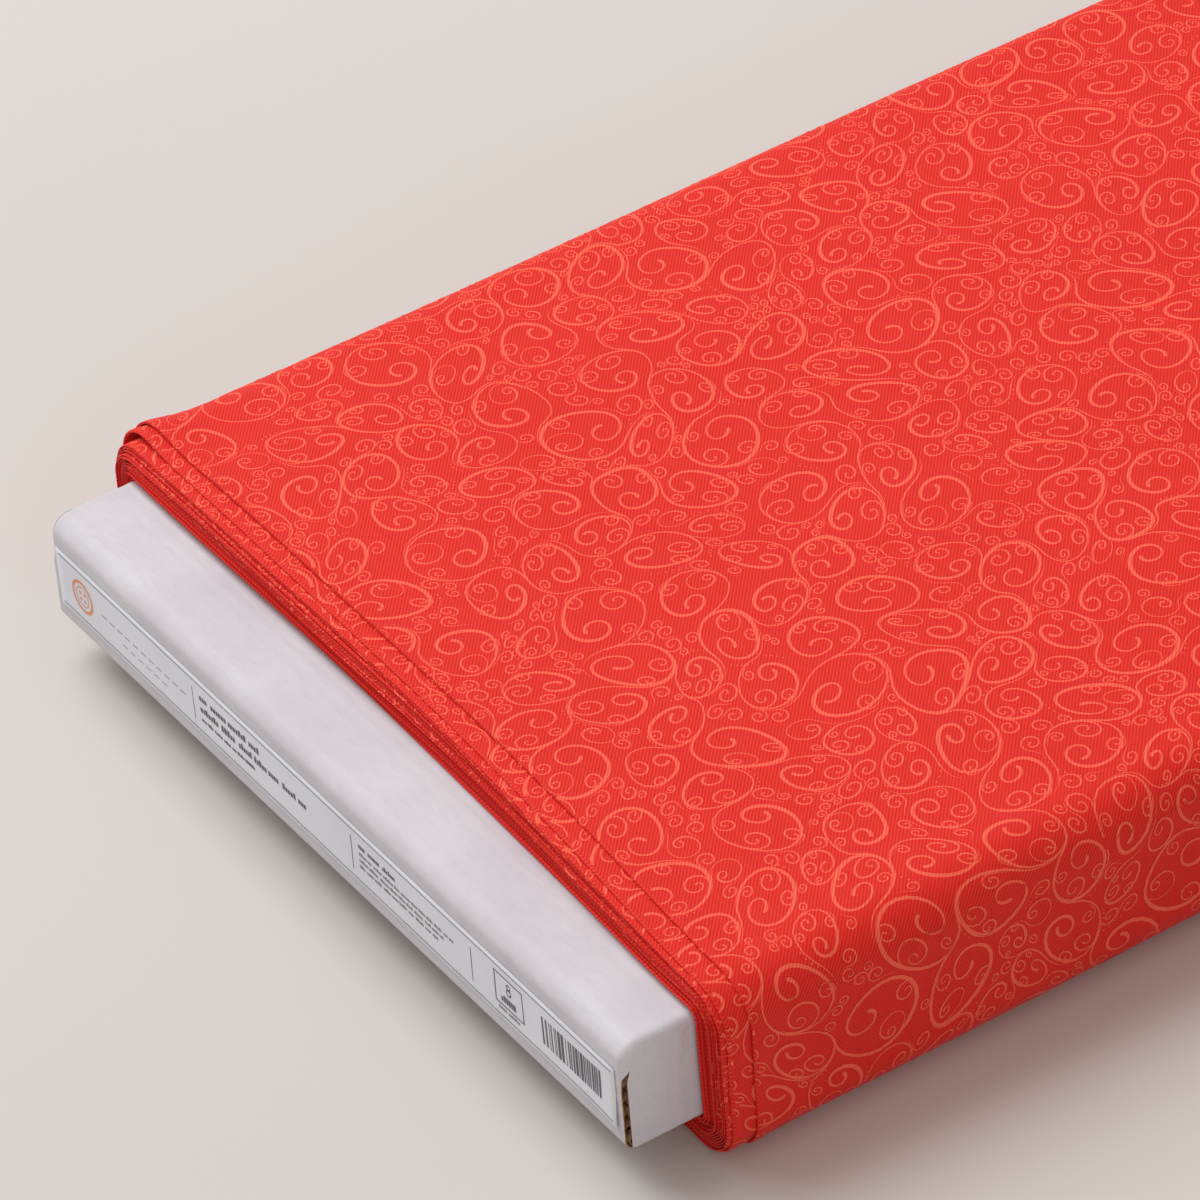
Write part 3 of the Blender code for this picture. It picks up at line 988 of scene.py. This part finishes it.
def build_label():
    """A paper label with a thin cut edge."""
    columns, rows = 96, 14
    xs = np.linspace(LABEL_LEFT, LABEL_RIGHT, columns)
    zs = np.linspace(LABEL_BOTTOM, LABEL_TOP, rows)
    points = [(x, paper_y(x, z) + depth, z) for depth in (0.0, PAPER_THICK) for z in zs for x in xs]
    face = grid_faces(rows, columns)
    faces = [tuple(quad) for quad in face]
    faces += [tuple(quad[::-1]) for quad in face + rows * columns]
    corner = np.arange(rows * columns).reshape(rows, columns)
    rim = [*corner[0], *corner[1:, -1], *corner[-1, -2::-1], *corner[-2:0:-1, 0]]
    for first, second in zip(rim, rim[1:] + rim[:1]):
        faces.append((first, first + rows * columns, second + rows * columns, second))
    label = add_mesh("label_sticker", points, faces, [PAPER])
    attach(label, "label_end_flap")
    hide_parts("end_label")


class InkSheet:
    """Flat print on the label, measured in millimetres from its far lower corner."""

    def __init__(self):
        self.points, self.faces = [], []

    def polygon(self, outline):
        start = len(self.points)
        for u, v in outline:
            x, z = LABEL_LEFT + u * MM, LABEL_BOTTOM + v * MM
            self.points.append((x, paper_y(x, z) - INK_LIFT, z))
        self.faces.append(tuple(range(start, start + len(outline))))

    def bar(self, left, low, right, high):
        """An upright rectangle, in lengths short enough to follow the paper."""
        pieces = max(1, int((right - left) / 6))
        edges = np.linspace(left, right, pieces + 1)
        for first, second in zip(edges, edges[1:]):
            self.polygon([(first, low), (second, low), (second, high), (first, high)])

    def ring(self, u, v, outer, inner, steps):
        for k in range(steps):
            a, b = 2 * pi * k / steps, 2 * pi * (k + 1) / steps
            corners = ((outer, a), (outer, b), (inner, b), (inner, a))
            self.polygon([(u + r * cos(t), v + r * sin(t)) for r, t in corners])

    def words(self, left, right, base, height, seed):
        """A greeked line: short grey marks in place of words."""
        pick = random.Random(seed)
        u = left
        while u < right - height:
            size = min(right - u, pick.uniform(1.6, 4.4) * height)
            letter = u
            while letter < u + size - 0.3 * height:
                wide = pick.uniform(0.45, 0.7) * height
                tall = height * pick.choice((0.72, 0.72, 1.0))
                self.bar(letter, base, letter + wide * 0.8, base + tall)
                letter += wide
            u += size + 0.6 * height

    def finish(self, name, material):
        sheet = add_mesh(name, self.points, self.faces, [material])
        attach(sheet, "label_end_flap")


def print_label():
    """Frame lines, greeked text, a quantity box, a row of bars and a plain sewing-button mark."""
    wide = (LABEL_RIGHT - LABEL_LEFT) / MM
    tall = (LABEL_TOP - LABEL_BOTTOM) / MM
    dark, fine, orange = InkSheet(), InkSheet(), InkSheet()
    dark.bar(0.8, tall - 1.25, wide - 1.0, tall - 1.05)
    dark.bar(0.8, 1.10, wide - 1.0, 1.30)
    for u in (48, 102, 141):
        dark.bar(u, 2.9, u + 0.2, tall - 3.0)
    middle = tall / 2
    orange.ring(8.6, middle, 3.7, 3.0, 40)
    orange.ring(8.6, middle, 2.3, 2.05, 32)
    for du in (-0.75, 0.75):
        for dv in (-0.75, 0.75):
            orange.ring(8.6 + du, middle + dv, 0.42, 0.0, 12)
    for k in range(11):
        fine.bar(15.5 + 2.8 * k, middle - 0.12, 17.3 + 2.8 * k, middle + 0.12)
    for k in range(6):
        fine.bar(22.6 + 2.8 * k, middle - 2.6, 24.4 + 2.8 * k, middle - 2.4)
    dark.words(50.5, 73, middle + 2.0, 1.5, 1)
    dark.words(50.5, 87, middle - 0.7, 1.5, 2)
    dark.words(50.5, 69, middle - 2.9, 0.8, 3)
    dark.words(104.5, 118, middle + 2.4, 1.1, 4)
    for k in range(3):
        fine.words(104.5, 136 - 3 * k, middle + 0.7 - 1.45 * k, 0.75, 5 + k)
    left, low, right, high = 148.5, middle - 3.0, 157.6, middle + 4.2
    for edge in (
        (left, low, right, low + 0.3), (left, high - 0.3, right, high),
        (left, low, left + 0.3, high), (right - 0.3, low, right, high),
    ):
        dark.bar(*edge)
    centre = (left + right) / 2
    dark.ring(centre, middle + 2.45, 0.70, 0.38, 20)
    dark.ring(centre, middle + 1.20, 0.84, 0.50, 20)
    dark.words(centre - 2.6, centre + 2.9, middle - 1.9, 1.5, 9)
    fine.words(left + 0.9, right - 0.6, middle - 4.2, 0.8, 10)
    pick = random.Random(5)
    u = 163.5
    while u < 182.0:
        size = pick.choice((0.24, 0.40, 0.55, 0.80))
        dark.bar(u, middle - 3.0, u + size, middle + 3.4)
        u += size + pick.choice((0.24, 0.36, 0.60))
    dark.finish("label_print_dark", DARK_INK)
    fine.finish("label_print_fine", FINE_INK)
    orange.finish("label_print_button", ORANGE_INK)


# ---- the setting ----
def make_camera():
    """A long lens looking down on the board's labelled end from the near side."""
    back = Vector((
        sin(VIEW_AZIMUTH) * cos(VIEW_ELEVATION),
        -cos(VIEW_AZIMUTH) * cos(VIEW_ELEVATION),
        sin(VIEW_ELEVATION),
    ))
    level = Vector((cos(VIEW_AZIMUTH), sin(VIEW_AZIMUTH), 0))
    upright = back.cross(level)
    right = cos(VIEW_ROLL) * level + sin(VIEW_ROLL) * upright
    up = back.cross(right)
    target = Vector((0, FRONT_Y, BOARD_TOP))
    place = target + back * VIEW_DISTANCE - right * VIEW_OFFSET[0] - up * VIEW_OFFSET[1]
    data = bpy.data.cameras.new("camera")
    data.lens = LENS_MM
    data.sensor_width = SENSOR_MM
    data.clip_start = 0.05
    camera = bpy.data.objects.new("camera", data)
    bpy.context.scene.collection.objects.link(camera)
    turn = Matrix((right, up, back)).transposed().to_4x4()
    camera.matrix_world = Matrix.Translation(place) @ turn
    bpy.context.scene.camera = camera


def add_light(name, place, size, power, colour):
    """A square soft light that shines on the middle of the bolt."""
    data = bpy.data.lights.new(name, "AREA")
    data.shape = "RECTANGLE"
    data.size = data.size_y = size
    data.energy = power
    data.color = colour
    light = bpy.data.objects.new(name, data)
    light.location = place
    light.rotation_euler = (Vector((0, 0, 0.02)) - light.location).to_track_quat("-Z", "Y").to_euler()
    bpy.context.scene.collection.objects.link(light)


def build_setting():
    half = 6.0
    corners = [(-half, -half, 0), (half, -half, 0), (half, half, 0), (-half, half, 0)]
    ground = add_mesh("floor", corners, [(0, 1, 2, 3)], [floor_finish()])
    world = bpy.data.worlds.new("soft_room")
    world.use_nodes = True
    background = world.node_tree.nodes["Background"].inputs
    background["Color"].default_value = srgb(242, 231, 224)
    background["Strength"].default_value = 0.52
    bpy.context.scene.world = world
    bpy.context.scene.view_settings.view_transform = "Standard"
    add_light("key", (-1.35, -0.55, 2.0), 1.9, 56.0, (0.97, 0.99, 1.0))
    add_light("fill", (2.1, -0.8, 1.1), 1.8, 9.0, (1.0, 0.97, 0.95))


# ---- everything together ----
def build_cloth():
    tile = repeat_ribbons(make_scrollwork())
    winding, points, chart = add_cloth("cloth_winding", FIRST_TURN, WRAP_START, False)
    band = chart[:, 0, 0] > length_at(5.2)
    steps = map_print("print_on_steps", points[band], chart[band], STEP_PRINT, tile)
    wrap = add_cloth("cloth_outer_wrap", WRAP_START, LAP_START, True)[0]
    pieces = [winding, steps, wrap]
    # The upper print runs a little way onto the free lap, which doesn't bend there.
    points, chart = cloth_grid(WRAP_START, LAP_START + 0.005, True)
    breaks = length_at((15.48, 15.78))
    starts = (0.0, *(breaks - PRINT_LAP))
    names = ("print_far_side", "print_under", "print_over")
    for name, first, last in zip(names, starts, (*breaks, inf)):
        part = (chart[:, 0, 0] >= first) & (chart[:, 0, 0] <= last)
        pieces.append(map_print(name, points[part], chart[part], PRINTED_WIDTH, tile))
    for piece in pieces:
        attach(piece, "cloth")
    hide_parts("cloth_inner_turns", "cloth_stepped_turn")
    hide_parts("cloth_outer_turn")

    lap, points, chart = add_cloth("cloth_free_lap", LAP_START, LAST_TURN, True)
    lap_print = map_print("print_on_lap", points, chart, PRINTED_WIDTH, tile)
    for piece in (lap, lap_print):
        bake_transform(piece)
    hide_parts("cloth_free_end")


def main():
    make_camera()
    build_setting()
    build_cloth()
    sleeve = build_sleeve()
    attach(sleeve, "board")
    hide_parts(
        "board_top_panel", "board_bottom_panel",
        "board_side_wall_near", "board_side_wall_far", "board_glue_flap",
    )
    build_end("label", FRONT_Y, 1)
    build_end("rear", REAR_Y, -1)
    build_label()
    print_label()


main()
